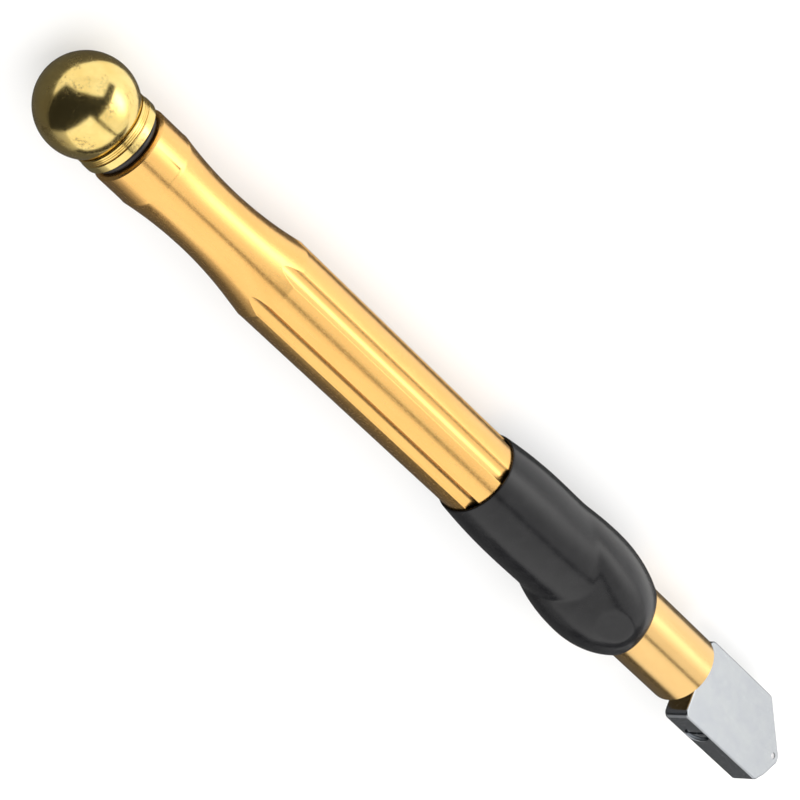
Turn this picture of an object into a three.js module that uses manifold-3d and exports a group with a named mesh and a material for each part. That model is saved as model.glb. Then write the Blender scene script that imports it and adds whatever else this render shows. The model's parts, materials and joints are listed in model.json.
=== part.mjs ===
// Oil-fed pencil glass cutter: ball-ended anodised barrel, moulded finger grip, ferrule and swivel head.
// Millimetres. The tool lies along X, ball end at -X and wheel at +X, on one finger dish of its grip with the
// other facing +Z. "Stations" are distances along the tool from the centre of the end ball, and angles round it
// are 0 at +Z and 90 degrees at -Y. The head parts are made with the head's wide faces across Z, then turned.
import * as THREE from "three";
import { mergeVertices } from "three/addons/utils/BufferGeometryUtils.js";
import Module from "manifold-3d";

const wasm = await Module();
wasm.setup();

// ---- driving sizes ----
const RUNNING_GAP = 0.05; // radial clearance of every part that turns or slides in another
const ROUND = 40; // facets round a large turned part
const SMALL_ROUND = 20; // facets round a small turned part
const SLIVER = 0.004; // edges shorter than this are merged away after a cut
const THREAD_ROUND = 24; // facets round the filler thread

// end ball, washer and filler cap
const BALL_RADIUS = 7.0;
const WASHER = { from: 4.2, to: 5.3, radius: 5.85 };
const COLLAR = { to: 6.6, radius: 5.93, chamfer: 0.15 };
const STUD_RADIUS = 2.1;
const STUD_START = -1.0;
const CAP_RING = { centre: 7.25, section: 0.63, radius: 4.55 };
const CAP_NECK_RADIUS = 3.8;
const THREAD = { pitch: 1.0, minor: 4.25, major: 4.7, gap: 0.1, from: 8.4, to: 11.7, holeTo: 12.3 };

// barrel
const BARREL_START = 7.9;
const BARREL_END = 112.0;
const BARREL_RADIUS = 5.85;
const RIM = { innerRadius: 5.4, chamferEnd: 8.2 };
const WAIST = { from: 13.1, to: 37.3, radius: 5.1, arc: 70, centre: 23.7 };
const SHOULDER = { from: 37.3, to: 37.9, radius: 6.4 };
const BORE_RADIUS = 4.5;
const FLUTES = { count: 6, depth: 0.5, cutter: 2.1, from: 33.0, to: 92.0, firstAngle: 19.3 };

// moulded grip: a swelling sleeve that ends in two bellies with a finger dish between them on each side
const GRIP = { from: 85.2, to: 125.2, lean: 1.6, mouth: 6.77, waist: 7.6, bias: 0.1, waistAt: 98.5, endRadius: 6.3 };
const PAD_REACH = 7.95; // from the axis to the flat pad that the tool lies on, in each dish
const DISH_SAG = { run: 12, dish: 0.65, belly: 0.1 };
// "even" is what both bellies differ from the dish by, "odd" what the large one adds and the small one takes off
const PEAK = { dish: 8.3, even: 0.41, odd: 0.56 };
const PEAK_AT = { dish: 118.5, even: -3.65, odd: 2.35 };
const PEAK_SLOPE = { dish: 13.7, even: 9.3, odd: -4.0 };
const GRIP_BLEND = 0.15;

// ferrule and the valve inside it
const FERRULE = { from: 104.0, shoulder: 112.3, to: 140.6, radius: 5.92, spigot: 4.45 };
const CHAMBER = { to: 122.0, radius: 3.0 };
const STEM_CHAMBER = { to: 125.5, radius: 2.5 };
const STEM_BORE_RADIUS = 1.8;
const RETAINER = { from: 104.4, to: 106.0, hole: 0.8 };
const SEAT = { from: 119.2, hole: 1.2, gap: 0.03 };
const BARREL_RING = { centre: 108.0, section: 0.45, radius: 4.0, groove: 0.55 };
const NEEDLE = { from: 115.9, plate: 117.3, cone: 119.5, tip: 120.9, to: 123.9, plateRadius: 2.5, radius: 1.8, pin: 0.9 };
const SPRING = { from: 106.05, to: 115.85, coil: 2.15, wire: 0.25, turns: 6 };

// swivel stem
const STEM = { from: 124.0, collar: 125.4, to: 154.0, collarRadius: 2.3 };
const STEM_RADIUS = STEM_BORE_RADIUS - RUNNING_GAP;
const STEM_RING = { centre: 134.0, section: 0.3, radius: 1.48, groove: 0.42, floor: 1.15 };
const LOCK_STATION = 149.2;
const LOCK_GROOVE = { halfWidth: 0.95, radius: 1.25 };
const OIL_HOLE_RADIUS = 0.55;
const INLET_RADIUS = 0.45;
const WICK = { from: 128.0, to: 162.0, radius: 0.4 };

// cutting head
const HEAD_TURN = -50; // degrees the head has swivelled from the dishes
const HEAD = { from: 142.75, plusY: 6.4, minusY: -7.3, thickness: 4.45, corner: 1.1, bevel: 0.3 };
const HEAD_SHOULDERS = { plusY: 160.7, minusY: 163.4 };
const HEAD_BROW = { station: 165.1, y: -5.4, corner: 2.0 };
const TIP = { station: 167.1, from: -2.2, to: -1.2, corner: 0.35 };
const WHEEL = { station: 165.7, y: -1.7, radius: 2.0, thickness: 1.05, edge: 0.12, hole: 0.5 };
const SLOT = { from: 163.3, width: 1.25 };
const AXLE_LENGTH = 4.25;
const SCREW = { radius: 1.9, face: 6.9, length: 3.7, slotWidth: 0.6, slotDepth: 0.7 };
const SCREW_HOLE_FLOOR = -3.1;
const PAD = { radius: 0.85, length: 1.5 };

// ---- helpers ----
const radians = THREE.MathUtils.degToRad;

function solidOf(geometry) {
  const bare = geometry.clone();
  bare.deleteAttribute("normal");
  bare.deleteAttribute("uv");
  const merged = mergeVertices(bare, 1e-4);
  return new wasm.Manifold(
    new wasm.Mesh({
      numProp: 3,
      vertProperties: merged.attributes.position.array,
      triVerts: new Uint32Array(merged.index.array),
    }),
  );
}

function geometryOf(solid) {
  const mesh = solid.getMesh();
  const geometry = new THREE.BufferGeometry();
  geometry.setAttribute("position", new THREE.BufferAttribute(mesh.vertProperties, 3));
  geometry.setIndex(new THREE.BufferAttribute(mesh.triVerts, 1));
  const flat = geometry.toNonIndexed();
  flat.computeVertexNormals();
  return flat;
}

// A solid turned about the tool's axis from [station, radius] pairs, with a flat facing +Z.
function turned(profile, segments = SMALL_ROUND) {
  const points = profile.map(([station, radius]) => new THREE.Vector2(radius, station));
  if (THREE.ShapeUtils.area(points) < 0) points.reverse();
  const closed = points[0].x > 0 ? [...points, points[0].clone()] : points;
  return solidOf(new THREE.LatheGeometry(closed, segments, Math.PI / segments).rotateZ(-Math.PI / 2));
}

function rod(from, to, radius, segments = SMALL_ROUND) {
  return turned([[from, 0], [from, radius], [to, radius], [to, 0]], segments);
}

function tube(from, to, outer, inner, segments = SMALL_ROUND) {
  return turned([[from, inner], [from, outer], [to, outer], [to, inner]], segments);
}

function torus(centre, radius, section) {
  const steps = 8;
  const profile = [];
  for (let i = 0; i < steps; i += 1) {
    const angle = (2 * Math.PI * i) / steps;
    profile.push([centre + section * Math.sin(angle), radius + section * Math.cos(angle)]);
  }
  return turned(profile, SMALL_ROUND);
}

// A solid bar along the axis whose radius is a function of station and angle (0 at +Z, 90 degrees at -Y).
// Lean is how much further than "to" the bar reaches at -Y, and how much less at +Y.
function shapedBar(from, to, rows, around, radiusAt, lean = 0) {
  const bar = new THREE.CylinderGeometry(1, 1, 1, around, rows, false, Math.PI / around).rotateZ(-Math.PI / 2);
  const place = bar.attributes.position;
  for (let i = 0; i < place.count; i += 1) {
    const away = Math.hypot(place.getY(i), place.getZ(i));
    const angle = Math.atan2(-place.getY(i), place.getZ(i));
    const end = to + lean * away * Math.sin(angle);
    const station = from + (end - from) * (place.getX(i) + 0.5);
    const radius = away * radiusAt(station, angle);
    place.setXYZ(i, station, -radius * Math.sin(angle), radius * Math.cos(angle));
  }
  return solidOf(bar);
}

// A cylinder along Y or Z through (station, y, z), centred on that point.
function crossRod(axis, station, y, z, radius, length, segments = SMALL_ROUND) {
  const bar = new THREE.CylinderGeometry(radius, radius, length, segments);
  if (axis === "z") bar.rotateX(Math.PI / 2);
  return solidOf(bar.translate(station, y, z));
}

function block(x, y, z, width, depth, height) {
  return solidOf(new THREE.BoxGeometry(width, depth, height).translate(x, y, z));
}

// ---- end ball, washer and filler cap ----
function endBall() {
  const start = Math.PI;
  const end = Math.acos(WASHER.from / BALL_RADIUS);
  const steps = 14;
  const profile = [];
  for (let i = 0; i <= steps; i += 1) {
    const angle = start + ((end - start) * i) / steps;
    profile.push([BALL_RADIUS * Math.cos(angle), i === 0 ? 0 : BALL_RADIUS * Math.sin(angle)]);
  }
  profile.push([WASHER.from, 0]);
  return turned(profile, ROUND).subtract(
    rod(STUD_START - 0.3, WASHER.from + 1, STUD_RADIUS + RUNNING_GAP),
  );
}

function ballWasher() {
  const groove = 0.12;
  const { from, to, radius } = WASHER;
  const lines = [0.4, 0.7];
  const profile = [[from, STUD_RADIUS + RUNNING_GAP], [from, radius - groove], [from + groove, radius]];
  for (const line of lines) {
    profile.push([from + line - 0.07, radius], [from + line, radius - groove], [from + line + 0.07, radius]);
  }
  profile.push([to - groove, radius], [to, radius - groove], [to, STUD_RADIUS + RUNNING_GAP]);
  return turned(profile, ROUND);
}

// Right-hand thread: the crest climbs one pitch along +X for each turn about +X.
function threadedBar(from, to, minor, major) {
  const rowsPerPitch = 6;
  const rows = Math.round(((to - from) / THREAD.pitch) * rowsPerPitch);
  return shapedBar(from, to, rows, THREAD_ROUND, (station, angle) => {
    const phase = station / THREAD.pitch - angle / (2 * Math.PI);
    const height = 0.5 + 0.5 * Math.cos(2 * Math.PI * phase);
    return minor + (major - minor) * height;
  });
}

function fillerCap() {
  const { to, radius, chamfer } = COLLAR;
  const head = turned([
    [STUD_START, 0],
    [STUD_START, STUD_RADIUS],
    [WASHER.to, STUD_RADIUS],
    [WASHER.to, radius - chamfer],
    [WASHER.to + chamfer, radius],
    [to - chamfer, radius],
    [to, radius - chamfer],
    [to, CAP_NECK_RADIUS],
    [THREAD.from + 0.2, CAP_NECK_RADIUS],
    [THREAD.from + 0.2, 0],
  ], ROUND);
  return head.add(threadedBar(THREAD.from, THREAD.to, THREAD.minor, THREAD.major));
}

function capRing() {
  return torus(CAP_RING.centre, CAP_RING.radius, CAP_RING.section);
}

// ---- barrel ----
function waistRadius(station) {
  const offset = station - WAIST.centre;
  return WAIST.radius + WAIST.arc - Math.sqrt(WAIST.arc ** 2 - offset ** 2);
}

function barrelBlank() {
  const profile = [
    [BARREL_START, BORE_RADIUS],
    [BARREL_START, RIM.innerRadius],
    [RIM.chamferEnd, BARREL_RADIUS],
    [WAIST.from, BARREL_RADIUS],
  ];
  const steps = 10;
  for (let i = 1; i <= steps; i += 1) {
    const station = WAIST.from + ((WAIST.to - WAIST.from) * i) / steps;
    profile.push([station, waistRadius(station)]);
  }
  profile.push([SHOULDER.to, SHOULDER.radius], [BARREL_END, SHOULDER.radius], [BARREL_END, BORE_RADIUS]);
  return turned(profile, ROUND);
}

function barrel() {
  let body = barrelBlank().subtract(
    threadedBar(BARREL_START - 0.8, THREAD.holeTo, THREAD.minor + THREAD.gap, THREAD.major + THREAD.gap),
  );
  const { count, depth, cutter, from, to, firstAngle } = FLUTES;
  const reach = SHOULDER.radius - depth + cutter;
  for (let i = 0; i < count; i += 1) {
    const angle = radians(firstAngle + (360 * i) / count);
    const tool = rod(from, to, cutter, 20);
    body = body.subtract(tool.translate(0, -reach * Math.sin(angle), reach * Math.cos(angle)));
  }
  return body;
}

// ---- moulded grip ----
function gripEnd(angle) {
  return GRIP.to + GRIP.lean * Math.sin(angle);
}

function gripRadius(station, angle) {
  const belly = Math.sin(angle) ** 2; // 0 in the dishes, 1 on the bellies
  const side = Math.sin(angle); // 1 on the large belly, -1 on the small one
  const shaped = ({ dish, even, odd }) => dish + belly * (even + odd * side);
  const waist = GRIP.waist - GRIP.bias * side;
  const sag = DISH_SAG.dish + (DISH_SAG.belly - DISH_SAG.dish) * belly;
  const run = station - GRIP.waistAt;
  const sleeve = run < 0
    ? waist - (waist - GRIP.mouth) * (run / (GRIP.waistAt - GRIP.from)) ** 2
    : waist - sag * (run / DISH_SAG.run) ** 2;
  const peak = shaped(PEAK);
  const peakAt = shaped(PEAK_AT);
  const ahead = (gripEnd(angle) - peakAt) / Math.sqrt(1 - (GRIP.endRadius / peak) ** 2);
  const share = (station - peakAt) / (station < peakAt ? shaped(PEAK_SLOPE) : ahead);
  const lobe = peak * Math.sqrt(Math.max(0, 1 - share ** 2));
  if (station > peakAt) return lobe;
  return (sleeve + lobe + Math.sqrt((sleeve - lobe) ** 2 + GRIP_BLEND ** 2)) / 2;
}

// The flats round the sleeve, not the corners between them, lie on the grip's surface.
function gripSleeve() {
  const overEnd = GRIP.to + GRIP.lean + 1;
  const bore = turned([
    [GRIP.from - 1, 0],
    [GRIP.from - 1, SHOULDER.radius + RUNNING_GAP],
    [FERRULE.shoulder, SHOULDER.radius + RUNNING_GAP],
    [FERRULE.shoulder, FERRULE.radius + RUNNING_GAP],
    [overEnd, FERRULE.radius + RUNNING_GAP],
    [overEnd, 0],
  ], ROUND);
  const flats = 1 / Math.cos(Math.PI / ROUND);
  const outside = (station, angle) => {
    return Math.min(gripRadius(station, angle) * flats, PAD_REACH / Math.abs(Math.cos(angle)));
  };
  return shapedBar(GRIP.from, GRIP.to, 28, ROUND, outside, GRIP.lean).subtract(bore);
}

// ---- ferrule and valve ----
function ferrule() {
  const { from, shoulder, to, radius, spigot } = FERRULE;
  const ring = BARREL_RING;
  return turned([
    [from, CHAMBER.radius],
    [from, spigot],
    [ring.centre - ring.groove, spigot],
    [ring.centre - ring.groove, ring.radius - ring.section - RUNNING_GAP],
    [ring.centre + ring.groove, ring.radius - ring.section - RUNNING_GAP],
    [ring.centre + ring.groove, spigot],
    [shoulder, spigot],
    [shoulder, radius],
    [to, radius],
    [to, STEM_BORE_RADIUS],
    [STEM_CHAMBER.to, STEM_BORE_RADIUS],
    [STEM_CHAMBER.to, STEM_CHAMBER.radius],
    [CHAMBER.to, STEM_CHAMBER.radius],
    [CHAMBER.to, CHAMBER.radius],
  ], ROUND);
}

function ferruleRing() {
  return torus(BARREL_RING.centre, BARREL_RING.radius, BARREL_RING.section);
}

function springRetainer() {
  return tube(RETAINER.from, RETAINER.to, CHAMBER.radius - RUNNING_GAP, RETAINER.hole);
}

function valveSeat() {
  const outer = CHAMBER.radius - RUNNING_GAP;
  const taper = (NEEDLE.radius - NEEDLE.pin) / (NEEDLE.tip - NEEDLE.cone);
  const mouth = NEEDLE.radius + SEAT.gap;
  return turned([
    [SEAT.from, mouth],
    [SEAT.from, outer],
    [CHAMBER.to - RUNNING_GAP, outer],
    [CHAMBER.to - RUNNING_GAP, SEAT.hole],
    [NEEDLE.cone + (mouth - SEAT.hole) / taper, SEAT.hole],
    [NEEDLE.cone, mouth],
  ]);
}

function valveNeedle() {
  const { from, plate, cone, tip, to, plateRadius, radius, pin } = NEEDLE;
  return turned([
    [from, 0],
    [from, plateRadius],
    [plate, plateRadius],
    [plate, radius],
    [cone, radius],
    [tip, pin],
    [to, pin],
    [to, 0],
  ]);
}

class SpringPath extends THREE.Curve {
  getPoint(share, target = new THREE.Vector3()) {
    const { from, to, coil, wire, turns } = SPRING;
    const angle = 2 * Math.PI * turns * share;
    const station = from + wire + (to - from - 2 * wire) * share;
    return target.set(station, coil * Math.cos(angle), coil * Math.sin(angle));
  }
}

function valveSpring() {
  const wire = new THREE.Shape().absarc(0, 0, SPRING.wire, 0, 2 * Math.PI, false);
  const coil = new THREE.ExtrudeGeometry(wire, {
    steps: 12 * SPRING.turns,
    curveSegments: 4,
    extrudePath: new SpringPath(),
  });
  return solidOf(coil);
}

// ---- swivel stem ----
function swivelStem() {
  const { from, collar, to, collarRadius } = STEM;
  const body = turned([
    [from, 0],
    [from, collarRadius],
    [collar, collarRadius],
    [collar, STEM_RADIUS],
    [STEM_RING.centre - STEM_RING.groove, STEM_RADIUS],
    [STEM_RING.centre - STEM_RING.groove, STEM_RING.floor],
    [STEM_RING.centre + STEM_RING.groove, STEM_RING.floor],
    [STEM_RING.centre + STEM_RING.groove, STEM_RADIUS],
    [LOCK_STATION - LOCK_GROOVE.halfWidth, STEM_RADIUS],
    [LOCK_STATION - LOCK_GROOVE.halfWidth, LOCK_GROOVE.radius],
    [LOCK_STATION + LOCK_GROOVE.halfWidth, LOCK_GROOVE.radius],
    [LOCK_STATION + LOCK_GROOVE.halfWidth, STEM_RADIUS],
    [to, STEM_RADIUS],
    [to, 0],
  ]);
  return body
    .subtract(rod((from + collar) / 2, to + 1, OIL_HOLE_RADIUS, 12))
    .subtract(crossRod("y", (from + collar) / 2, 0, 0, INLET_RADIUS, 2 * collarRadius + 1, 12));
}

function stemRing() {
  return torus(STEM_RING.centre, STEM_RING.radius, STEM_RING.section);
}

function oilWick() {
  return rod(WICK.from, WICK.to, WICK.radius, 12);
}

// ---- cutting head ----
// Corner points of the wide face, each with the radius that rounds it.
function headOutline(inset) {
  const { from, plusY, minusY, corner } = HEAD;
  const points = [
    [from, minusY, corner],
    [HEAD_SHOULDERS.minusY, minusY, corner],
    [HEAD_BROW.station, HEAD_BROW.y, HEAD_BROW.corner],
    [TIP.station, TIP.from, TIP.corner],
    [TIP.station, TIP.to, TIP.corner],
    [HEAD_SHOULDERS.plusY, plusY, corner],
    [from, plusY, corner],
  ].map(([x, y, radius]) => ({ at: new THREE.Vector2(x, y), radius }));
  const shape = new THREE.Shape();
  points.forEach(({ at, radius }, i) => {
    const before = points[(i + points.length - 1) % points.length].at;
    const after = points[(i + 1) % points.length].at;
    const back = before.clone().sub(at).normalize();
    const ahead = after.clone().sub(at).normalize();
    const half = Math.acos(THREE.MathUtils.clamp(back.dot(ahead), -1, 1)) / 2;
    const trim = radius / Math.tan(half);
    const start = at.clone().addScaledVector(back, trim);
    const end = at.clone().addScaledVector(ahead, trim);
    const middle = back.clone().add(ahead).normalize();
    const centre = at.clone().addScaledVector(middle, radius / Math.sin(half));
    const first = Math.atan2(start.y - centre.y, start.x - centre.x);
    const last = Math.atan2(end.y - centre.y, end.x - centre.x);
    const reach = radius - inset;
    shape.absarc(centre.x, centre.y, reach, first, last, false);
  });
  return shape;
}

function headBlock() {
  const { thickness, bevel, from } = HEAD;
  const plate = new THREE.ExtrudeGeometry(headOutline(bevel), {
    depth: thickness - 2 * bevel,
    bevelThickness: bevel,
    bevelSize: bevel,
    bevelSegments: 2,
    curveSegments: 6,
  }).translate(0, 0, -thickness / 2 + bevel);
  const stemHole = rod(from - 1, STEM.to + 0.4, STEM_RADIUS + RUNNING_GAP);
  const oilway = rod(STEM.to, SLOT.from + 1, OIL_HOLE_RADIUS, 16);
  const wheelSlot = block(SLOT.from + 5, 0, 0, 10, 4 * HEAD.plusY, SLOT.width);
  const axleHole = crossRod("z", WHEEL.station, WHEEL.y, 0, WHEEL.hole + 0.03, 2 * thickness, 16);
  const screwDepth = SCREW_HOLE_FLOOR - HEAD.minusY;
  const screwHole = crossRod("y", LOCK_STATION, HEAD.minusY, 0, SCREW.radius + RUNNING_GAP, 2 * screwDepth);
  const padHole = crossRod("y", LOCK_STATION, HEAD.minusY / 2, 0, PAD.radius + RUNNING_GAP, -HEAD.minusY);
  return [stemHole, oilway, wheelSlot, axleHole, screwHole, padHole].reduce(
    (body, tool) => body.subtract(tool),
    solidOf(plate),
  ).simplify(SLIVER);
}

function lockScrew() {
  const { radius, face, length, slotWidth, slotDepth } = SCREW;
  const screw = crossRod("y", LOCK_STATION, -face + length / 2, 0, radius, length);
  const slot = block(LOCK_STATION, -face, 0, slotWidth, 2 * slotDepth, 3 * radius);
  return screw.subtract(slot);
}

function lockPad() {
  const inner = -LOCK_GROOVE.radius - 0.1;
  return crossRod("y", LOCK_STATION, inner - PAD.length / 2, 0, PAD.radius, PAD.length, 16);
}

function axlePin() {
  return crossRod("z", WHEEL.station, WHEEL.y, 0, WHEEL.hole, AXLE_LENGTH, 16);
}

function cuttingWheel() {
  const { radius, thickness, edge, hole, station, y } = WHEEL;
  const points = [
    [hole + 0.06, -thickness / 2],
    [radius - 0.45, -thickness / 2],
    [radius, -edge / 2],
    [radius, edge / 2],
    [radius - 0.45, thickness / 2],
    [hole + 0.06, thickness / 2],
    [hole + 0.06, -thickness / 2],
  ].map(([x, z]) => new THREE.Vector2(x, z));
  const wheel = new THREE.LatheGeometry(points, ROUND).rotateX(Math.PI / 2);
  return solidOf(wheel.translate(station, y, 0));
}

// ---- assembly ----
const FINISH = {
  brass: { color: 0xc2a24c, roughness: 0.18, metalness: 1 },
  brightBrass: { color: 0xe0b64e, roughness: 0.2, metalness: 1 },
  anodised: { color: 0xe59a2e, roughness: 0.28, metalness: 1 },
  ferruleGold: { color: 0xe0b763, roughness: 0.32, metalness: 1 },
  rubber: { color: 0x1b1b1e, roughness: 0.45, metalness: 0 },
  seal: { color: 0x0d0d0f, roughness: 0.5, metalness: 0 },
  nickel: { color: 0xc3c9cf, roughness: 0.25, metalness: 1 },
  steel: { color: 0x9da1a6, roughness: 0.3, metalness: 1 },
  spring: { color: 0xb8bcc2, roughness: 0.25, metalness: 1 },
  polymer: { color: 0xe9e6dc, roughness: 0.55, metalness: 0 },
  felt: { color: 0xd8d2c2, roughness: 0.95, metalness: 0 },
  carbide: { color: 0x5d6066, roughness: 0.22, metalness: 1 },
};

// Each node's name, maker and finish, and whether it swivels with the head.
const NODES = [
  ["end_ball", endBall, "brass"],
  ["ball_washer", ballWasher, "brightBrass"],
  ["filler_cap", fillerCap, "brass"],
  ["cap_o_ring", capRing, "seal"],
  ["barrel", barrel, "anodised"],
  ["grip_sleeve", gripSleeve, "rubber"],
  ["ferrule", ferrule, "ferruleGold"],
  ["ferrule_o_ring", ferruleRing, "seal"],
  ["spring_retainer", springRetainer, "brass"],
  ["valve_seat", valveSeat, "polymer"],
  ["valve_spring", valveSpring, "spring"],
  ["valve_needle", valveNeedle, "steel"],
  ["swivel_stem", swivelStem, "steel"],
  ["stem_o_ring", stemRing, "seal"],
  ["oil_wick", oilWick, "felt"],
  ["head_block", headBlock, "nickel", true],
  ["lock_pad", lockPad, "polymer", true],
  ["lock_screw", lockScrew, "nickel", true],
  ["axle_pin", axlePin, "steel", true],
  ["cutting_wheel", cuttingWheel, "carbide", true],
];

const group = new THREE.Group();
group.name = "glass_cutter";
for (const [name, make, finish, swivels] of NODES) {
  const geometry = geometryOf(make());
  if (swivels) geometry.rotateX(radians(HEAD_TURN));
  const mesh = new THREE.Mesh(geometry, new THREE.MeshStandardMaterial(FINISH[finish]));
  mesh.name = name;
  group.add(mesh);
}

// The frame's origin is under the middle of the tool's bounding box, at its lowest point.
const box = new THREE.Box3().setFromObject(group);
const middle = box.getCenter(new THREE.Vector3());
for (const mesh of group.children) {
  mesh.geometry.translate(-middle.x, -middle.y, -box.min.z);
}

export default group;
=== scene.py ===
"""Looks of the oil-fed glass cutter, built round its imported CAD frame.

Lengths in the constants are millimetres, and a station is a distance along the tool from the centre of
its end ball. Angles round the tool are 0 at +Z and 90 degrees at -Y.
"""
import json
import math

import bmesh
import bpy
from mathutils import Matrix, Vector


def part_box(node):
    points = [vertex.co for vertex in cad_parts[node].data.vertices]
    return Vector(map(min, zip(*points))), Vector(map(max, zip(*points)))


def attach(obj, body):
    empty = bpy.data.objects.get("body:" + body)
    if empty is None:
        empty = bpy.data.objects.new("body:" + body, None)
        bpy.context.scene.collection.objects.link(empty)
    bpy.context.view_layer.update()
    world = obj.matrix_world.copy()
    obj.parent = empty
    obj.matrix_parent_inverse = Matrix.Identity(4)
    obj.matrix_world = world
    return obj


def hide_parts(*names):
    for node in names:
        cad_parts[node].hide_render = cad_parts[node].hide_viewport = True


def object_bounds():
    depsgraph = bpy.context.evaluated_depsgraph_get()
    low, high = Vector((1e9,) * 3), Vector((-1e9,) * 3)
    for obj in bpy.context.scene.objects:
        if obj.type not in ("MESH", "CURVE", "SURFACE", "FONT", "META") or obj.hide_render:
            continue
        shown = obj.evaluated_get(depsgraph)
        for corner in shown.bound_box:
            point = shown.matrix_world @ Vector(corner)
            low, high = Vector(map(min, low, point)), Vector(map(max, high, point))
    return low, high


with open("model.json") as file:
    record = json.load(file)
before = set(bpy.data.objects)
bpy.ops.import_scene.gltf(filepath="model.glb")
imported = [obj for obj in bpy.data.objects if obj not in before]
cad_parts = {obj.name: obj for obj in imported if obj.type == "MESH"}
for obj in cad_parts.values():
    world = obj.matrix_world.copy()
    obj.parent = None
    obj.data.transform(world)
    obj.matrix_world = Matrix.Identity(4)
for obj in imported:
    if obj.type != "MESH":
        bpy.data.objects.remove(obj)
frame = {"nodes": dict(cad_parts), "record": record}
cad_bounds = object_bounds()

MM = 0.001
TURN = 2 * math.pi

# ---- where the tool is, from the frame ----
ball_low, ball_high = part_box("end_ball")
cap_low, cap_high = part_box("filler_cap")
head_low, head_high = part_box("head_block")
BALL_RADIUS = (ball_high.z - ball_low.z) / 2 / MM
AXIS_Y = (cap_low.y + cap_high.y) / 2
AXIS_Z = (cap_low.z + cap_high.z) / 2
START_X = ball_low.x + BALL_RADIUS * MM

# ---- shapes ----
WASHER = dict(start=4.2, end=5.3, radius=5.85)
COLLAR = dict(end=6.6, radius=5.93)
STUD_RADIUS, STUD_END, BALL_HOLE_END = 2.1, -1.0, -1.3
RUNNING_GAP = 0.05
CAP_NECK_RADIUS = 3.8
CAP_RING = dict(centre=7.25, section=0.63, radius=4.55)
THREAD = dict(pitch=1.0, minor=4.25, major=4.7, gap=0.1, start=8.4, end=11.7, hole_end=12.3)
BARREL = dict(start=7.9, chamfer_end=8.2, end=112.0, radius=5.85, rim=5.4, bore=4.5)
WAIST = dict(start=13.1, end=37.3, radius=5.1, arc=70.0, centre=23.7)
SHOULDER = dict(end=37.9, radius=6.4)
FLUTES = dict(count=6, depth=0.5, cutter=2.1, start=33.0, end=92.0, first=math.radians(19.3))
GRIP = dict(start=85.2, end=125.2, lean=1.6, mouth=6.77, waist=7.6, bias=0.1, waist_at=98.5, end_radius=6.3)
PAD_REACH = 7.95
DISH_SAG = dict(run=12, dish=0.65, belly=0.1)
# the value in the dish, what both bellies differ from it by, what the large one adds and the small one loses
PEAK = (8.3, 0.41, 0.56)
PEAK_AT = (118.5, -3.65, 2.35)
PEAK_SLOPE = (13.7, 9.3, -4.0)
GRIP_BLEND, PAD_BLEND = 0.15, 0.06
FERRULE = dict(start=112.3, end=140.6, radius=5.92, bore=1.8)
STEM = dict(start=124.0, end=154.0, radius=1.75)
LOCK_STATION = 149.2
LOCK_GROOVE = dict(half_width=0.95, radius=1.25)
HEAD_TURN = math.radians(-50)
HEAD = dict(start=142.75, plus=6.4, minus=-7.3, thickness=4.45, corner=1.1, bevel=0.28)
HEAD_SHOULDERS = dict(plus=160.7, minus=163.4)
HEAD_BROW = dict(station=165.1, y=-5.4, corner=2.0)
TIP = dict(station=167.1, low=-2.2, high=-1.2, corner=0.35)
WHEEL = dict(station=165.7, y=-1.7, radius=2.0, thickness=1.05, edge=0.12, hole=0.56)
SLOT = dict(start=163.3, width=1.25)
AXLE = dict(radius=0.5, length=4.25)
SCREW = dict(radius=1.9, face=6.9, length=3.7, slot_width=0.6, slot_depth=0.7, hole_floor=-3.1)
PAD_HOLE_RADIUS = 0.9


def place(station, radius, angle):
    """A point on the tool, in metres, from a station, a radius and an angle round the axis."""
    return Vector((
        START_X + station * MM,
        AXIS_Y - radius * math.sin(angle) * MM,
        AXIS_Z + radius * math.cos(angle) * MM,
    ))


def soft_min(one, two, blend):
    """The smaller of two lengths, eased where they cross."""
    gap = one - two
    eased = (one + two - math.sqrt(gap ** 2 + blend ** 2)) / 2
    return eased + blend / 2 * math.exp(-abs(gap) / blend)


# ---- mesh helpers ----
def as_object(name, mesh, flat_shaded=False):
    """Puts a bmesh in the scene as a smooth-shaded object with face-weighted normals."""
    bmesh.ops.recalc_face_normals(mesh, faces=mesh.faces)
    data = bpy.data.meshes.new(name)
    mesh.to_mesh(data)
    mesh.free()
    for polygon in data.polygons:
        polygon.use_smooth = not flat_shaded
    made = bpy.data.objects.new(name, data)
    bpy.context.scene.collection.objects.link(made)
    weighted = made.modifiers.new("weighted_normals", "WEIGHTED_NORMAL")
    weighted.keep_sharp = True
    return made


def skin(name, rows, angles, closed=True):
    """Joins rings of points into a skin. A row is (station, radius), each a number or a function of angle."""
    mesh = bmesh.new()
    rings = []
    for station, radius in rows:
        where = station if callable(station) else (lambda angle, fixed=station: fixed)
        reach = radius if callable(radius) else (lambda angle, fixed=radius: fixed)
        if not callable(radius) and radius == 0:
            rings.append([mesh.verts.new(place(station, 0, 0))])
            continue
        spread = angles(station) if callable(angles) else angles
        rings.append([mesh.verts.new(place(where(angle), reach(angle), angle)) for angle in spread])
    pairs = list(zip(rings, rings[1:]))
    if closed:
        pairs.append((rings[-1], rings[0]))
    for one, two in pairs:
        count = max(len(one), len(two))
        for i in range(count):
            j = (i + 1) % count
            corners = [one[i % len(one)], one[j % len(one)], two[j % len(two)], two[i % len(two)]]
            mesh.faces.new(list(dict.fromkeys(corners)))
    return as_object(name, mesh)


def even_angles(count):
    return [TURN * i / count for i in range(count)]


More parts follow.
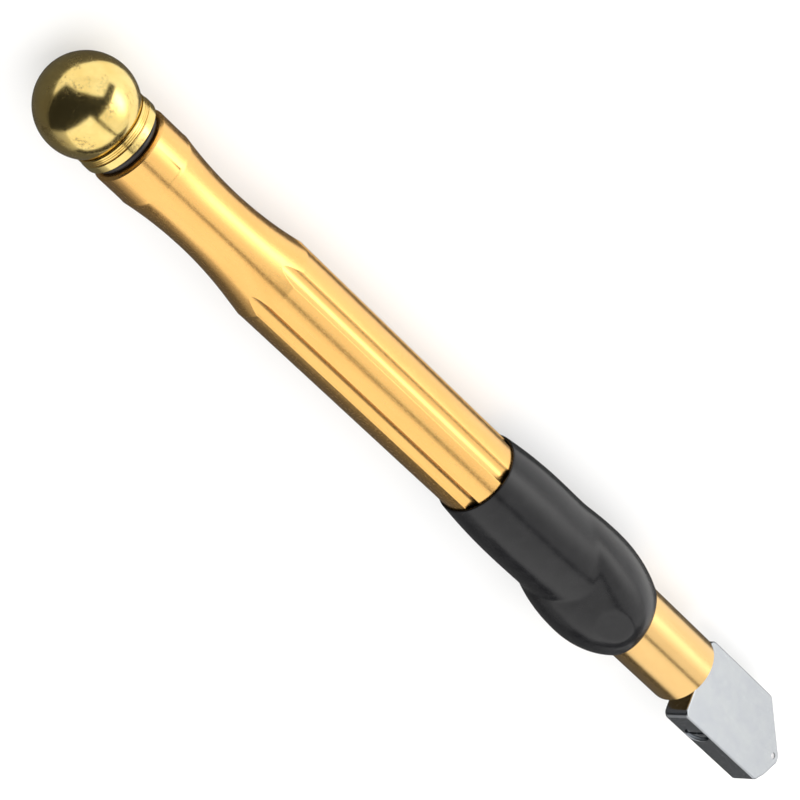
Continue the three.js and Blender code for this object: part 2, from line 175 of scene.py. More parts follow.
def rounded(outline, radius, steps=4):
    """Rounds each inner corner of an open outline of (station, radius) points with an arc."""
    made = [outline[0]]
    for before, corner, after in zip(outline, outline[1:], outline[2:]):
        at = Vector(corner)
        back = Vector(before) - at
        ahead = Vector(after) - at
        turn = back.angle(ahead)
        if turn > math.radians(176):
            made.append(corner)
            continue
        trim = min(radius / math.tan(turn / 2), back.length * 0.45, ahead.length * 0.45)
        reach = trim * math.tan(turn / 2)
        first = at + back.normalized() * trim
        last = at + ahead.normalized() * trim
        centre = at + (back.normalized() + ahead.normalized()).normalized() * (reach / math.sin(turn / 2))
        for i in range(steps + 1):
            spoke = (first - centre).lerp(last - centre, i / steps).normalized() * reach
            made.append(tuple(centre + spoke))
    made.append(outline[-1])
    return made


def revolve(name, outline, corner=0.08, segments=128, steps=4):
    """A turned piece from an outline that starts and ends on the axis, or closes on itself."""
    on_axis = outline[0][1] == 0 and outline[-1][1] == 0
    if on_axis:
        return skin(name, rounded(outline, corner, steps), even_angles(segments), closed=False)
    loop = [outline[-1], *outline, outline[0]]
    return skin(name, rounded(loop, corner, steps)[1:-1], even_angles(segments))


def ring(name, centre, radius, section, segments=96, steps=24):
    outline = [
        (centre + section * math.sin(TURN * i / steps), radius + section * math.cos(TURN * i / steps))
        for i in range(steps)
    ]
    return skin(name, outline, even_angles(segments))


def turned_along(piece, direction, centre):
    """Moves a piece made about the tool's axis so that its axis runs through centre along direction."""
    spin = Vector((1, 0, 0)).rotation_difference(direction).to_matrix().to_4x4()
    here = Vector((START_X, AXIS_Y, AXIS_Z))
    piece.data.transform(Matrix.Translation(centre) @ spin @ Matrix.Translation(-here))
    return piece


def swivelled(piece):
    """Turns a piece of the head about the tool's axis, to where the head has swivelled."""
    here = Vector((START_X, AXIS_Y, AXIS_Z))
    turn = Matrix.Rotation(HEAD_TURN, 4, "X")
    piece.data.transform(Matrix.Translation(here) @ turn @ Matrix.Translation(-here))
    return piece


def carve(piece, cutter):
    """Takes a cutter's shape out of a piece and removes the cutter."""
    cut = piece.modifiers.new("cut", "BOOLEAN")
    cut.operation = "DIFFERENCE"
    cut.solver = "EXACT"
    cut.object = cutter
    while piece.modifiers[0] != cut:
        bpy.context.view_layer.objects.active = piece
        bpy.ops.object.modifier_move_up(modifier=cut.name)
    bpy.context.view_layer.objects.active = piece
    bpy.ops.object.modifier_apply(modifier=cut.name)
    bpy.data.objects.remove(cutter)


# ---- end ball, washer and filler cap ----
def thread_radius(station, angle, extra=0.0):
    phase = station / THREAD["pitch"] - angle / TURN
    height = 0.5 + 0.5 * math.cos(TURN * phase)
    return THREAD["minor"] + extra + (THREAD["major"] - THREAD["minor"]) * height


def thread_rows(start, end, extra=0.0, per_pitch=14):
    count = round((end - start) / THREAD["pitch"] * per_pitch)
    rows = []
    for i in range(count + 1):
        station = start + (end - start) * i / count
        rows.append((station, lambda angle, at=station: thread_radius(at, angle, extra)))
    return rows


def end_ball():
    flat = math.acos(WASHER["start"] / BALL_RADIUS)
    steps = 64
    outline = []
    for i in range(steps + 1):
        angle = math.pi + (flat - math.pi) * i / steps
        outline.append((BALL_RADIUS * math.cos(angle), BALL_RADIUS * math.sin(angle) if i else 0))
    hole = STUD_RADIUS + RUNNING_GAP
    outline += [(WASHER["start"], hole), (BALL_HOLE_END, hole), (BALL_HOLE_END, 0)]
    return skin("ball", outline, even_angles(160), closed=False)


def ball_washer():
    start, end, radius = WASHER["start"], WASHER["end"], WASHER["radius"]
    hole = STUD_RADIUS + RUNNING_GAP
    outline = [(start, hole), (start, radius - 0.12), (start + 0.14, radius)]
    for line in (start + 0.42, start + 0.72):
        outline += [(line - 0.05, radius), (line, radius - 0.1), (line + 0.05, radius)]
    outline += [(end - 0.12, radius), (end, radius - 0.14), (end, hole)]
    return revolve("washer", outline, corner=0.04, segments=160)


def filler_cap():
    top = rounded([
        (STUD_END, 0),
        (STUD_END, STUD_RADIUS),
        (WASHER["end"], STUD_RADIUS),
        (WASHER["end"], COLLAR["radius"] - 0.1),
        (WASHER["end"] + 0.1, COLLAR["radius"]),
        (COLLAR["end"] - 0.16, COLLAR["radius"]),
        (COLLAR["end"], COLLAR["radius"] - 0.16),
        (COLLAR["end"], CAP_NECK_RADIUS),
        (THREAD["start"], CAP_NECK_RADIUS),
    ], 0.05)
    rows = top + thread_rows(THREAD["start"], THREAD["end"]) + [(THREAD["end"], 3.9), (THREAD["end"], 0)]
    return skin("filler_cap_piece", rows, even_angles(128), closed=False)


# ---- barrel ----
def waist_radius(station):
    offset = station - WAIST["centre"]
    return WAIST["radius"] + WAIST["arc"] - math.sqrt(WAIST["arc"] ** 2 - offset ** 2)


def body_radius(station):
    """The barrel's outer radius between flutes."""
    if station < WAIST["start"]:
        return BARREL["radius"]
    if station < WAIST["end"]:
        return waist_radius(station)
    shoulder = waist_radius(WAIST["end"])
    share = min(1.0, (station - WAIST["end"]) / (SHOULDER["end"] - WAIST["end"]))
    return shoulder + (SHOULDER["radius"] - shoulder) * share


FLUTE_REACH = SHOULDER["radius"] - FLUTES["depth"] + FLUTES["cutter"]
FLUTE_STEP = TURN / FLUTES["count"]
FLUTE_FADE = 0.03


def flute_half_angle(station):
    """Half the angle that a flute takes of the barrel's surface at a station, or 0 above its run-out."""
    radius = body_radius(station)
    cosine = (FLUTE_REACH ** 2 + radius ** 2 - FLUTES["cutter"] ** 2) / (2 * FLUTE_REACH * radius)
    return math.acos(cosine) if cosine < 1 else 0.0


def barrel_angles(station):
    """Angles that crowd at the edges of the flutes, so the edges stay crisp along the run-out."""
    half = max(flute_half_angle(station), math.radians(1.2))
    near = math.radians(0.5)
    floor = [half * share for share in (-0.93, -0.8, -0.6, -0.4, -0.2, 0.0, 0.2, 0.4, 0.6, 0.8, 0.93)]
    land_start = half + near
    land_end = FLUTE_STEP - half - near
    land = [land_start + (land_end - land_start) * i / 15 for i in range(16)]
    sector = [-half, *floor, half, *land]
    return [FLUTES["first"] + FLUTE_STEP * k + angle for k in range(FLUTES["count"]) for angle in sector]


def barrel_radius(station, angle):
    radius = body_radius(station)
    if not FLUTES["start"] < station < FLUTES["end"]:
        return radius
    offset = (angle - FLUTES["first"] + FLUTE_STEP / 2) % FLUTE_STEP - FLUTE_STEP / 2
    inside = FLUTES["cutter"] ** 2 - (FLUTE_REACH * math.sin(offset)) ** 2
    if inside <= 0:
        return radius
    floor = FLUTE_REACH * math.cos(offset) - math.sqrt(inside)
    return soft_min(floor, radius, FLUTE_FADE)


def spaced(start, end, count):
    return [start + (end - start) * i / count for i in range(count + 1)]


def barrel():
    mouth = [
        (THREAD["hole_end"], BARREL["bore"]),
        *reversed(thread_rows(BARREL["start"], THREAD["hole_end"] - 0.1, THREAD["gap"])),
    ]
    rim = rounded([
        (BARREL["start"], THREAD["major"] + THREAD["gap"] + 0.05),
        (BARREL["start"], BARREL["rim"]),
        (BARREL["chamfer_end"], BARREL["radius"]),
        (WAIST["start"], BARREL["radius"]),
    ], 0.05)
    stations = (
        spaced(WAIST["start"] + 0.05, 33.0, 30)
        + spaced(33.15, 38.6, 44)
        + spaced(39.5, 91.0, 40)
        + [91.9, 92.1, 100.0, BARREL["end"]]
    )
    outer = [(s, lambda angle, at=s: barrel_radius(at, angle)) for s in stations]
    rows = [
        *mouth,
        *rim[:-1],
        (WAIST["start"] - 0.05, BARREL["radius"]),
        *outer,
        (BARREL["end"], BARREL["bore"]),
    ]
    return skin("barrel_piece", rows, barrel_angles)


# ---- grip ----
def grip_end(angle):
    return GRIP["end"] + GRIP["lean"] * math.sin(angle)


def grip_radius(station, angle):
    belly = math.sin(angle) ** 2
    side = math.sin(angle)
    peak, peak_at, slope = (
        dish + belly * (even + odd * side) for dish, even, odd in (PEAK, PEAK_AT, PEAK_SLOPE)
    )
    waist = GRIP["waist"] - GRIP["bias"] * side
    run = station - GRIP["waist_at"]
    if run < 0:
        sleeve = waist - (waist - GRIP["mouth"]) * (run / (GRIP["waist_at"] - GRIP["start"])) ** 2
    else:
        sag = DISH_SAG["dish"] + (DISH_SAG["belly"] - DISH_SAG["dish"]) * belly
        sleeve = waist - sag * (run / DISH_SAG["run"]) ** 2
    ahead = (grip_end(angle) - peak_at) / math.sqrt(1 - (GRIP["end_radius"] / peak) ** 2)
    share = (station - peak_at) / (slope if station < peak_at else ahead)
    lobe = peak * math.sqrt(max(0.0, 1 - share ** 2))
    reach = lobe
    if station < peak_at:
        reach = (sleeve + lobe + math.sqrt((sleeve - lobe) ** 2 + GRIP_BLEND ** 2)) / 2
    return soft_min(reach, PAD_REACH / max(0.1, abs(math.cos(angle))), PAD_BLEND)


def grip():
    """The moulded sleeve, whose end leans: each row slides along the tool by its share of the lean."""
    bore = SHOULDER["radius"] + RUNNING_GAP
    lower_bore = FERRULE["radius"] + RUNNING_GAP
    mouth, start = GRIP["mouth"], GRIP["start"]
    steps, first, lip = 120, 0.1, 0.12
    outer = []
    for i in range(steps + 1):
        def station_at(angle, share=i / steps):
            return start + first + (grip_end(angle) - lip - start - first) * share

        def radius_at(angle, station_at=station_at):
            return grip_radius(station_at(angle), angle) - 0.01
        outer.append((station_at, radius_at))
    rows = [
        (FERRULE["start"], bore),
        (start + 0.06, bore),
        (start, bore + 0.06),
        (start, mouth - 0.1),
        (start + 0.03, mouth - 0.03),
        *outer,
        (lambda angle: grip_end(angle) - 0.03, GRIP["end_radius"] - 0.08),
        (grip_end, lower_bore + 0.1),
        (grip_end, lower_bore),
        (FERRULE["start"], lower_bore),
    ]
    return skin("grip", rows, even_angles(144))


# ---- ferrule and stem ----
def ferrule():
    return revolve("ferrule_piece", [
        (FERRULE["start"], FERRULE["bore"]),
        (FERRULE["start"], FERRULE["radius"]),
        (FERRULE["end"], FERRULE["radius"]),
        (FERRULE["end"], FERRULE["bore"]),
    ], corner=0.07, segments=160)


def stem():
    groove, radius = LOCK_GROOVE, STEM["radius"]
    return revolve("stem", [
        (STEM["start"] + 2, 0),
        (STEM["start"] + 2, radius),
        (LOCK_STATION - groove["half_width"], radius),
        (LOCK_STATION - groove["half_width"], groove["radius"]),
        (LOCK_STATION + groove["half_width"], groove["radius"]),
        (LOCK_STATION + groove["half_width"], radius),
        (STEM["end"], radius),
        (STEM["end"], 0),
    ], corner=0.1, segments=64)


# ---- head ----
def head_outline(inset, steps=10):
    """Points round the wide face as (station, y), with rounded corners, the whole moved in by inset."""
    corners = [
        (HEAD["start"], HEAD["minus"], HEAD["corner"]),
        (HEAD_SHOULDERS["minus"], HEAD["minus"], HEAD["corner"]),
        (HEAD_BROW["station"], HEAD_BROW["y"], HEAD_BROW["corner"]),
        (TIP["station"], TIP["low"], TIP["corner"]),
        (TIP["station"], TIP["high"], TIP["corner"]),
        (HEAD_SHOULDERS["plus"], HEAD["plus"], HEAD["corner"]),
        (HEAD["start"], HEAD["plus"], HEAD["corner"]),
    ]
    points = []
    for i, (x, y, radius) in enumerate(corners):
        at = Vector((x, y))
        back = (Vector(corners[i - 1][:2]) - at).normalized()
        ahead = (Vector(corners[(i + 1) % len(corners)][:2]) - at).normalized()
        half_turn = back.angle(ahead) / 2
        centre = at + (back + ahead).normalized() * (radius / math.sin(half_turn))
        trim = radius / math.tan(half_turn)
        first = at + back * trim - centre
        last = at + ahead * trim - centre
        for j in range(steps + 1):
            spoke = first.lerp(last, j / steps).normalized() * (radius - inset)
            points.append(centre + spoke)
    return points


def cross_cutter(name, centre, direction, outline):
    cutter = revolve(name, outline, corner=0.001, segments=96, steps=1)
    return turned_along(cutter, direction, centre)


def head_block():
    bevel, half = HEAD["bevel"], HEAD["thickness"] / 2
    steps = 5
    levels = []
    for i in range(steps + 1):
        lean = math.pi / 2 * i / steps
        levels.append((bevel * (1 - math.cos(lean)), half - bevel + bevel * math.sin(lean)))
    levels = [(inset, -z) for inset, z in reversed(levels)] + levels
    mesh = bmesh.new()
    rings = []
    for inset, z in levels:
        rings.append([
            mesh.verts.new((START_X + p.x * MM, AXIS_Y + p.y * MM, AXIS_Z + z * MM))
            for p in head_outline(inset)
        ])
    for one, two in zip(rings, rings[1:]):
        for i in range(len(one)):
            j = (i + 1) % len(one)
            mesh.faces.new((one[i], one[j], two[j], two[i]))
    mesh.faces.new(reversed(rings[0]))
    mesh.faces.new(rings[-1])
    head = as_object("head", mesh)

    stem_hole = STEM["radius"] + RUNNING_GAP
    carve(head, revolve("stem_hole", [
        (HEAD["start"] - 1, 0),
        (HEAD["start"] - 1, stem_hole + 1.15),
        (HEAD["start"] + 0.15, stem_hole),
        (STEM["end"] + 0.4, stem_hole),
        (STEM["end"] + 0.4, 0),
    ], corner=0.001, segments=96, steps=1))
    side = Vector((START_X + LOCK_STATION * MM, AXIS_Y + HEAD["minus"] * MM, AXIS_Z))
    recess = SCREW["radius"] + RUNNING_GAP
    deep = SCREW["hole_floor"] - HEAD["minus"]
    carve(head, cross_cutter("screw_hole", side, Vector((0, 1, 0)), [
        (-1, 0), (-1, recess + 1.12), (0.12, recess), (deep, recess), (deep, 0),
    ]))
    carve(head, cross_cutter("pad_hole", side, Vector((0, 1, 0)), [
        (deep - 0.1, 0),
        (deep - 0.1, PAD_HOLE_RADIUS),
        (-HEAD["minus"], PAD_HOLE_RADIUS),
        (-HEAD["minus"], 0),
    ]))
    wheel_centre = Vector((START_X + WHEEL["station"] * MM, AXIS_Y + WHEEL["y"] * MM, AXIS_Z))
    carve(head, cross_cutter("axle_hole", wheel_centre, Vector((0, 0, 1)), [
        (-4, 0), (-4, AXLE["radius"] + 0.03), (4, AXLE["radius"] + 0.03), (4, 0),
    ]))
    slot = bmesh.new()
    bmesh.ops.create_cube(slot, size=1.0)
    reach = Vector((10.0, 4 * HEAD["plus"], SLOT["width"])) * MM
    bmesh.ops.scale(slot, vec=reach, verts=slot.verts)
    middle = Vector((START_X + (SLOT["start"] + 5) * MM, AXIS_Y, AXIS_Z))
    bmesh.ops.translate(slot, vec=middle, verts=slot.verts)
    carve(head, as_object("slot", slot, flat_shaded=True))
    return head


def lock_screw():
    radius, length = SCREW["radius"], SCREW["length"]
    face = Vector((START_X + LOCK_STATION * MM, AXIS_Y - SCREW["face"] * MM, AXIS_Z))
    dome = 0.12
    screw = revolve("screw", [
        (0, 0),
        (0, radius * 0.5),
        (dome * 0.3, radius - 0.35),
        (dome + 0.15, radius),
        (length, radius),
        (length, 0),
    ], corner=0.25, segments=96, steps=6)
    turned_along(screw, Vector((0, 1, 0)), face)
    slot = bmesh.new()
    bmesh.ops.create_cube(slot, size=1.0)
    reach = Vector((SCREW["slot_width"], 2 * SCREW["slot_depth"], 3 * radius)) * MM
    bmesh.ops.scale(slot, vec=reach, verts=slot.verts)
    bmesh.ops.translate(slot, vec=face, verts=slot.verts)
    carve(screw, as_object("screw_slot", slot, flat_shaded=True))
    return screw


def wheel_parts():
    centre = Vector((START_X + WHEEL["station"] * MM, AXIS_Y + WHEEL["y"] * MM, AXIS_Z))
    half, radius = WHEEL["thickness"] / 2, WHEEL["radius"]
    wheel = revolve("wheel", [
        (-half, WHEEL["hole"]),
        (-half, radius - 0.45),
        (-WHEEL["edge"] / 2, radius),
        (WHEEL["edge"] / 2, radius),
        (half, radius - 0.45),
        (half, WHEEL["hole"]),
    ], corner=0.03, segments=128)
    axle = revolve("axle", [
        (-AXLE["length"] / 2, 0),
        (-AXLE["length"] / 2, AXLE["radius"]),
        (AXLE["length"] / 2, AXLE["radius"]),
        (AXLE["length"] / 2, 0),
    ], corner=0.08, segments=48)
    up = Vector((0, 0, 1))
    return turned_along(wheel, up, centre), turned_along(axle, up, centre)


# ---- materials ----
class Finish:
    """A Principled material with helpers for patterns measured in millimetres on the piece."""

    def __init__(self, name):
        self.material = bpy.data.materials.new(name)
        self.material.use_nodes = True
        self.nodes = self.material.node_tree.nodes
        self.links = self.material.node_tree.links
        self.shader = self.nodes["Principled BSDF"]
        self.where = self.nodes.new("ShaderNodeTexCoord").outputs["Object"]

    def stretched(self, scale):
        mapping = self.nodes.new("ShaderNodeMapping")
        mapping.inputs["Scale"].default_value = Vector(scale) / MM
        self.links.new(self.where, mapping.inputs["Vector"])
        return mapping.outputs["Vector"]

    def noise(self, scale, detail=4.0, roughness=0.55, distortion=0.0):
        texture = self.nodes.new("ShaderNodeTexNoise")
        texture.inputs["Scale"].default_value = 1.0
        texture.inputs["Detail"].default_value = detail
        texture.inputs["Roughness"].default_value = roughness
        texture.inputs["Distortion"].default_value = distortion
        self.links.new(self.stretched(scale), texture.inputs["Vector"])
        return texture.outputs["Fac"]

    def ranged(self, value, low, high, to_low, to_high):
        node = self.nodes.new("ShaderNodeMapRange")
        for socket, number in zip(("From Min", "From Max", "To Min", "To Max"), (low, high, to_low, to_high)):
            node.inputs[socket].default_value = number
        self.links.new(value, node.inputs["Value"])
        return node.outputs["Result"]

    def joined(self, operation, one, two):
        node = self.nodes.new("ShaderNodeMath")
        node.operation = operation
        for socket, value in zip(node.inputs, (one, two)):
            if isinstance(value, (int, float)):
                socket.default_value = value
            else:
                self.links.new(value, socket)
        return node.outputs["Value"]

    def blended(self, amount, one, two):
        node = self.nodes.new("ShaderNodeMix")
        node.data_type = "RGBA"
        self.links.new(amount, node.inputs["Factor"])
        for socket, value in zip((node.inputs[6], node.inputs[7]), (one, two)):
            if isinstance(value, tuple):
                socket.default_value = (*value, 1.0)
            else:
                self.links.new(value, socket)
        return node.outputs[2]

    def bumped(self, *heights):
        """Each height is (value, depth in millimetres)."""
        normal = None
        for value, depth in heights:
            node = self.nodes.new("ShaderNodeBump")
            node.inputs["Strength"].default_value = 1.0
            node.inputs["Distance"].default_value = depth * MM
            self.links.new(value, node.inputs["Height"])
            if normal is not None:
                self.links.new(normal, node.inputs["Normal"])
            normal = node.outputs["Normal"]
        self.links.new(normal, self.shader.inputs["Normal"])

    def set(self, values):
        for name, value in values.items():
            socket = self.shader.inputs[name]
            if isinstance(value, (int, float)):
                socket.default_value = value
            elif isinstance(value, tuple):
                socket.default_value = (*value, 1.0)
            else:
                self.links.new(value, socket)
        return self


def metal(name, colour, tint, tint_scale, rough, grain, grain_depth, fleck=None):
    """A metal whose colour drifts to a tint, with grain of one direction and fine wear in its gloss."""
    finish = Finish(name)
    drift = finish.ranged(finish.noise(tint_scale, detail=5.0, distortion=0.4), 0.38, 0.68, 0.0, 1.0)
    base = finish.blended(drift, colour, tint)
    lines = finish.noise(grain, detail=3.0, roughness=0.6)
    wear = finish.noise((1.6, 1.6, 1.6), detail=6.0, roughness=0.65)
    gloss = finish.ranged(finish.joined("MULTIPLY", lines, wear), 0.12, 0.42, rough[0], rough[1])
    heights = [(lines, grain_depth), (wear, grain_depth * 0.6)]
    if fleck:
        amount, dark, scale = fleck
        spots = finish.noise((scale, scale, scale), detail=8.0, roughness=0.75)
        patch = finish.noise((0.35, 0.35, 0.35), detail=2.0)
        spread = finish.ranged(finish.joined("MULTIPLY", spots, patch), 0.30, 0.40, 0.0, amount)
        base = finish.blended(spread, base, dark)
        gloss = finish.joined("ADD", gloss, finish.joined("MULTIPLY", spread, 0.35))
    finish.set({"Base Color": base, "Metallic": 1.0, "Roughness": gloss})
    finish.bumped(*heights)
    return finish.material


def moulded_rubber():
    rubber = Finish("moulded_rubber")
    mottle = rubber.noise((0.5, 0.5, 0.5), detail=5.0)
    pores = rubber.noise((9.0, 9.0, 9.0), detail=4.0, roughness=0.6)
    dust = rubber.ranged(rubber.noise((5.0, 5.0, 5.0), detail=6.0, roughness=0.8), 0.66, 0.74, 0.0, 0.35)
    drift = rubber.ranged(mottle, 0.35, 0.65, 0.0, 1.0)
    shade = rubber.blended(drift, (0.006, 0.006, 0.007), (0.010, 0.010, 0.011))
    rubber.set({
        "Base Color": rubber.blended(dust, shade, (0.05, 0.05, 0.05)),
        "Roughness": rubber.ranged(rubber.joined("ADD", mottle, pores), 0.7, 1.3, 0.20, 0.28),
        "Specular IOR Level": 0.34,
    })
    rubber.bumped((pores, 0.004), (mottle, 0.02))
    return rubber.material


def seal_rubber():
    seal = Finish("seal_rubber")
    speck = seal.noise((6.0, 6.0, 6.0), detail=5.0)
    seal.set({
        "Base Color": seal.blended(
            seal.ranged(speck, 0.4, 0.6, 0.0, 1.0), (0.010, 0.009, 0.009), (0.02, 0.018, 0.018)),
        "Roughness": seal.ranged(speck, 0.3, 0.7, 0.28, 0.45),
    })
    seal.bumped((speck, 0.004))
    return seal.material


def valve_polymer():
    polymer = Finish("valve_polymer")
    cloud = polymer.noise((1.5, 1.5, 1.5), detail=4.0)
    polymer.set({
        "Base Color": polymer.blended(cloud, (0.80, 0.78, 0.72), (0.70, 0.67, 0.60)),
        "Roughness": polymer.ranged(cloud, 0.3, 0.7, 0.4, 0.6),
    })
    polymer.bumped((cloud, 0.004))
    return polymer.material


def wick_felt():
    felt = Finish("wick_felt")
    fibres = felt.noise((2.0, 12.0, 12.0), detail=6.0, roughness=0.7)
    felt.set({
        "Base Color": felt.blended(fibres, (0.62, 0.56, 0.45), (0.78, 0.74, 0.64)),
        "Roughness": felt.ranged(fibres, 0.3, 0.7, 0.85, 1.0),
    })
    felt.bumped((fibres, 0.03))
    return felt.material


def make_materials():
    made = {}
    made["brass"] = metal(
        "polished_brass", (0.92, 0.71, 0.27), (0.84, 0.61, 0.20), (0.22, 0.22, 0.22), (0.13, 0.24),
        (0.5, 7.0, 7.0), 0.0006, fleck=(0.5, (0.20, 0.14, 0.06), 2.4))
    made["bright_brass"] = metal(
        "turned_brass", (0.95, 0.70, 0.24), (0.80, 0.55, 0.16), (0.5, 0.5, 0.5), (0.14, 0.28),
        (14.0, 0.15, 0.15), 0.0015)
    made["anodised"] = metal(
        "gold_anodising", (0.93, 0.55, 0.18), (0.90, 0.51, 0.16), (0.08, 0.5, 0.5), (0.20, 0.30),
        (0.12, 9.0, 9.0), 0.0012)
    made["ferrule_gold"] = metal(
        "pale_gold_satin", (0.83, 0.54, 0.22), (0.80, 0.51, 0.20), (0.1, 0.3, 0.3), (0.20, 0.25),
        (0.15, 8.0, 8.0), 0.001)
    made["nickel"] = metal(
        "satin_nickel", (0.45, 0.47, 0.49), (0.42, 0.44, 0.47), (0.25, 0.25, 0.25), (0.20, 0.28),
        (0.25, 11.0, 3.0), 0.0009)
    made["steel"] = metal(
        "turned_steel", (0.56, 0.56, 0.57), (0.48, 0.48, 0.49), (0.6, 0.6, 0.6), (0.2, 0.36),
        (12.0, 0.4, 0.4), 0.0015)
    made["spring"] = metal(
        "spring_wire", (0.62, 0.63, 0.65), (0.52, 0.53, 0.55), (1.0, 1.0, 1.0), (0.18, 0.3),
        (3.0, 3.0, 3.0), 0.001)
    made["carbide"] = metal(
        "ground_carbide", (0.30, 0.31, 0.33), (0.24, 0.25, 0.27), (0.8, 0.8, 0.8), (0.16, 0.3),
        (6.0, 6.0, 0.6), 0.001)
    made["rubber"] = moulded_rubber()
    made["seal"] = seal_rubber()
    made["polymer"] = valve_polymer()
    made["felt"] = wick_felt()
    return made


def wear(piece, material):
    piece.data.materials.clear()
    piece.data.materials.append(material)


# ---- put the pieces on the frame ----
materials = make_materials()
wheel_piece, axle_piece = wheel_parts()
PIECES = [
    (end_ball(), "cap", ["end_ball"], "brass"),
    (ball_washer(), "cap", ["ball_washer"], "bright_brass"),
    (filler_cap(), "cap", ["filler_cap"], "brass"),
    (ring("cap_seal_piece", CAP_RING["centre"], CAP_RING["radius"], CAP_RING["section"]), "cap_seal",
     ["cap_o_ring"], "seal"),
    (barrel(), "handle", ["barrel"], "anodised"),
    (grip(), "handle", ["grip_sleeve"], "rubber"),
    (ferrule(), "handle", ["ferrule"], "ferrule_gold"),
    (stem(), "plunger", ["swivel_stem"], "steel"),
    (swivelled(head_block()), "head", ["head_block"], "nickel"),
    (swivelled(lock_screw()), "screw", ["lock_screw"], "nickel"),
    (swivelled(wheel_piece), "wheel", ["cutting_wheel"], "carbide"),
    (swivelled(axle_piece), "head", ["axle_pin"], "steel"),
]
for piece, body, nodes, slot in PIECES:
    wear(piece, materials[slot])
    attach(piece, body)
    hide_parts(*nodes)

replaced = {node for _, _, nodes, _ in PIECES for node in nodes}
for part in frame["record"]["subparts"]:
    if part["node"] not in replaced:
        wear(frame["nodes"][part["node"]], materials[part["material_slot"]])


# ---- floor ----
def floor():
    mesh = bmesh.new()
    size, steps = 3.0, 12
    bmesh.ops.create_grid(mesh, x_segments=steps, y_segments=steps, size=size)
    made = as_object("floor", mesh)
    made.location.z = cad_bounds[0].z - 0.02 * MM
    paper = Finish("floor_paper")
    grain = paper.noise((0.05, 0.05, 0.05), detail=3.0)
    paper.set({
        "Base Color": paper.blended(grain, (0.86, 0.86, 0.86), (0.89, 0.89, 0.89)),
        "Roughness": 0.9,
        "Specular IOR Level": 0.1,
    })
    wear(made, paper.material)


floor()


# ---- light ----
# White panels round the tool: how bright each is at TOP and at the floor, then its corners, in metres from
# under the tool's middle. The narrow gap between the top and the side panel draws a line along the metal.
TOP, GAP = 0.9, (0.12, 0.26)
PANELS = {
    "top_panel": (1.25, 1.25, [
        (-0.17, GAP[0], TOP), (2.6, GAP[0], TOP), (2.6, -2.6, TOP), (1.7, -2.4, TOP), (-0.17, -1.3, TOP),
    ]),
    "low_panel": (0.65, 0.22, [(-0.17, -1.3, TOP), (1.7, -2.4, TOP), (1.7, -2.6, 0.0), (-0.25, -1.7, 0.0)]),
    "side_panel": (1.15, 0.90, [(0.06, GAP[1], TOP), (2.6, GAP[1], TOP), (2.6, 1.0, 0.0), (0.0, 1.0, 0.0)]),
    "end_panel": (1.30, 1.05, [
        (-0.22, 1.0, 0.0), (-1.3, 0.05, 0.0), (-0.95, 0.26, 0.42), (-0.50, 0.55, 0.56), (-0.22, 0.66, 0.48),
    ]),
}
GLOW = dict(panel="side_panel", centre=(0.32, 0.78, 0.26), along=0.50, reach=0.56, brightness=3.0)
ROOM_BRIGHTNESS = 0.03
BACKDROP_BRIGHTNESS = 0.95
FLOOR_FILL = dict(height=1.2, size=2.4, brightness=1.35)
# a dark card that lies on the floor along the tool's -Y side, where only the metal mirrors it: it paints a
# reflection of shade, standing in for the shaded floor near the tool
CARD = [(0.16, 0.013), (-0.092, 0.013), (-0.70, -0.35), (-0.70, -1.2), (1.20, -1.2)]
CARD_SHADE = 0.09
STAGE_ONLY = ("camera", "diffuse", "shadow", "transmission", "volume_scatter")


def tool_middle():
    low, high = cad_bounds
    return Vector(((low.x + high.x) / 2, (low.y + high.y) / 2, low.z))


def polygon(name, corners):
    """A flat-shaded sheet on the corner points, which are measured from under the tool's middle."""
    mesh = bmesh.new()
    points = [mesh.verts.new(tool_middle() + Vector(corner)) for corner in corners]
    for i in range(1, len(points) - 1):
        mesh.faces.new((points[0], points[i], points[i + 1]))
    return as_object(name, mesh, flat_shaded=True)


def panel(name, bright_top, bright_foot, corners):
    made = polygon(name, corners)
    made.visible_camera = False
    made.visible_shadow = False
    white = Finish(name + "_cloth")
    weave = white.noise((0.004, 0.004, 0.004), detail=2.0)
    split = white.nodes.new("ShaderNodeSeparateXYZ")
    white.links.new(white.where, split.inputs["Vector"])
    fade = white.ranged(split.outputs["Z"], 0.0, TOP, bright_foot, bright_top)
    shine = white.joined("MULTIPLY", fade, white.ranged(weave, 0.3, 0.7, 0.96, 1.04))
    if name == GLOW["panel"]:
        squash = Vector((GLOW["along"], 1, 1))
        flat = white.nodes.new("ShaderNodeVectorMath")
        flat.operation = "MULTIPLY"
        white.links.new(white.where, flat.inputs[0])
        flat.inputs[1].default_value = squash
        shift = white.nodes.new("ShaderNodeVectorMath")
        shift.operation = "DISTANCE"
        white.links.new(flat.outputs["Vector"], shift.inputs[0])
        shift.inputs[1].default_value = (tool_middle() + Vector(GLOW["centre"])) * squash
        near = white.ranged(shift.outputs["Value"], GLOW["reach"], 0.0, 0.0, 1.0)
        core = white.joined("MULTIPLY", white.joined("MULTIPLY", near, near), GLOW["brightness"])
        shine = white.joined("ADD", shine, core)
    white.set({"Base Color": (0.0, 0.0, 0.0), "Specular IOR Level": 0.0, "Emission Color": (1.0, 0.99, 0.97)})
    white.set({"Emission Strength": shine})
    wear(made, white.material)


def floor_fill():
    """Even light that whitens the floor and is not mirrored in the metal."""
    size = FLOOR_FILL["size"]
    lamp = bpy.data.lights.new("floor_fill", "AREA")
    lamp.size = size
    lamp.energy = 4 * size * size * FLOOR_FILL["brightness"]
    lamp.use_shadow = False
    made = bpy.data.objects.new("floor_fill", lamp)
    bpy.context.scene.collection.objects.link(made)
    made.location = tool_middle() + Vector((0, 0, FLOOR_FILL["height"]))
    made.visible_camera = False
    made.visible_glossy = False


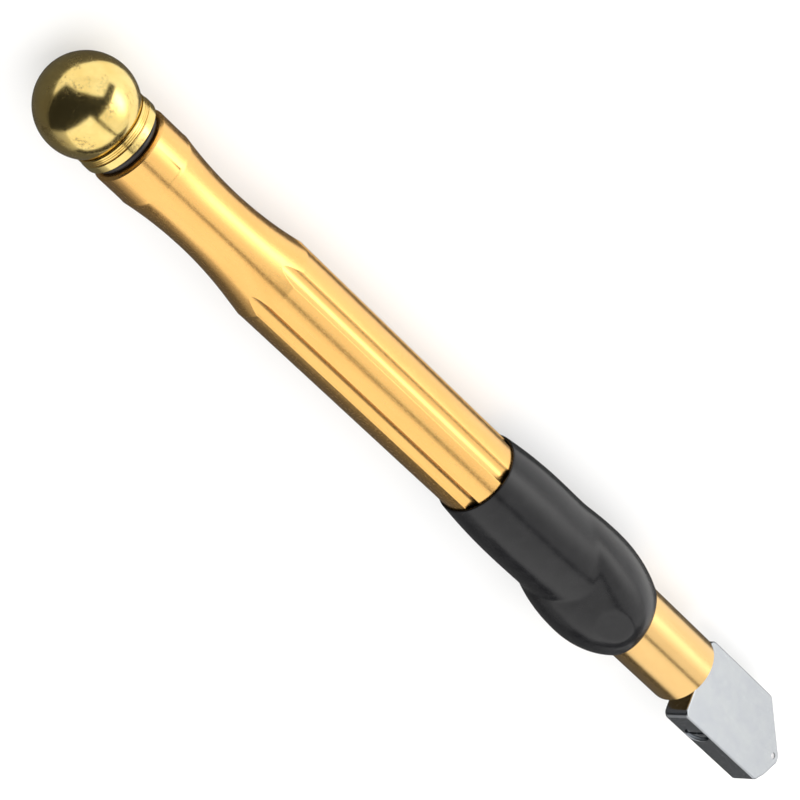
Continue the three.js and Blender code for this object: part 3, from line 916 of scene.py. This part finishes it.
def shade_reflection_card():
    # painted reflection of shade: a dark sheet hidden from camera, diffuse and shadow rays, seen only in the
    # metal's gloss
    lift = 0.1 * MM
    made = polygon("shade_reflection_card", [(x, y, lift) for x, y in CARD])
    for ray in STAGE_ONLY:
        setattr(made, "visible_" + ray, False)
    card = Finish("shade_reflection_sheet")
    shade_mottle = card.noise((0.2, 0.2, 0.2), detail=3.0)
    # painted shade: the card's dark colour, mottled a little
    shade = card.ranged(shade_mottle, 0.3, 0.7, CARD_SHADE * 0.9, CARD_SHADE * 1.1)
    card.set({"Base Color": shade, "Roughness": 0.9, "Specular IOR Level": 0.0})
    wear(made, card.material)


def studio_world():
    world = bpy.data.worlds.new("studio")
    bpy.context.scene.world = world
    world.use_nodes = True
    nodes, links = world.node_tree.nodes, world.node_tree.links
    room = nodes["Background"]
    room.inputs["Color"].default_value = (0.92, 0.95, 1.0, 1.0)
    room.inputs["Strength"].default_value = ROOM_BRIGHTNESS
    seen = nodes.new("ShaderNodeBackground")
    seen.inputs["Color"].default_value = (0.97, 0.98, 1.0, 1.0)
    seen.inputs["Strength"].default_value = BACKDROP_BRIGHTNESS
    path = nodes.new("ShaderNodeLightPath")
    mix = nodes.new("ShaderNodeMixShader")
    links.new(path.outputs["Is Camera Ray"], mix.inputs["Fac"])
    links.new(room.outputs["Background"], mix.inputs[1])
    links.new(seen.outputs["Background"], mix.inputs[2])
    links.new(mix.outputs["Shader"], nodes["World Output"].inputs["Surface"])


studio_world()
for panel_name, (bright_top, bright_foot, corners) in PANELS.items():
    panel(panel_name, bright_top, bright_foot, corners)
floor_fill()
# the dark card paints a shaded reflection along the metal's -Y side
shade_reflection_card()
bpy.context.scene.view_settings.view_transform = "Standard"

# ---- camera ----
LENS_MM = 126.0
CAMERA_FROM_BALL = Vector((-159.96, 99.42, 305.60))
CAMERA_RIGHT = Vector((0.5940, 0.7827, 0.1861))
CAMERA_UP = Vector((-0.5613, 0.5690, -0.6011))


def camera():
    data = bpy.data.cameras.new("camera")
    data.lens = LENS_MM
    data.sensor_width = 36.0
    data.clip_start = 0.01
    data.clip_end = 20.0
    made = bpy.data.objects.new("camera", data)
    bpy.context.scene.collection.objects.link(made)
    right = CAMERA_RIGHT.normalized()
    up = (CAMERA_UP - right * CAMERA_UP.dot(right)).normalized()
    back = right.cross(up)
    turn = Matrix((right, up, back)).transposed().to_4x4()
    ball = Vector((START_X, AXIS_Y, AXIS_Z))
    made.matrix_world = Matrix.Translation(ball + CAMERA_FROM_BALL * MM) @ turn
    bpy.context.scene.camera = made


camera()
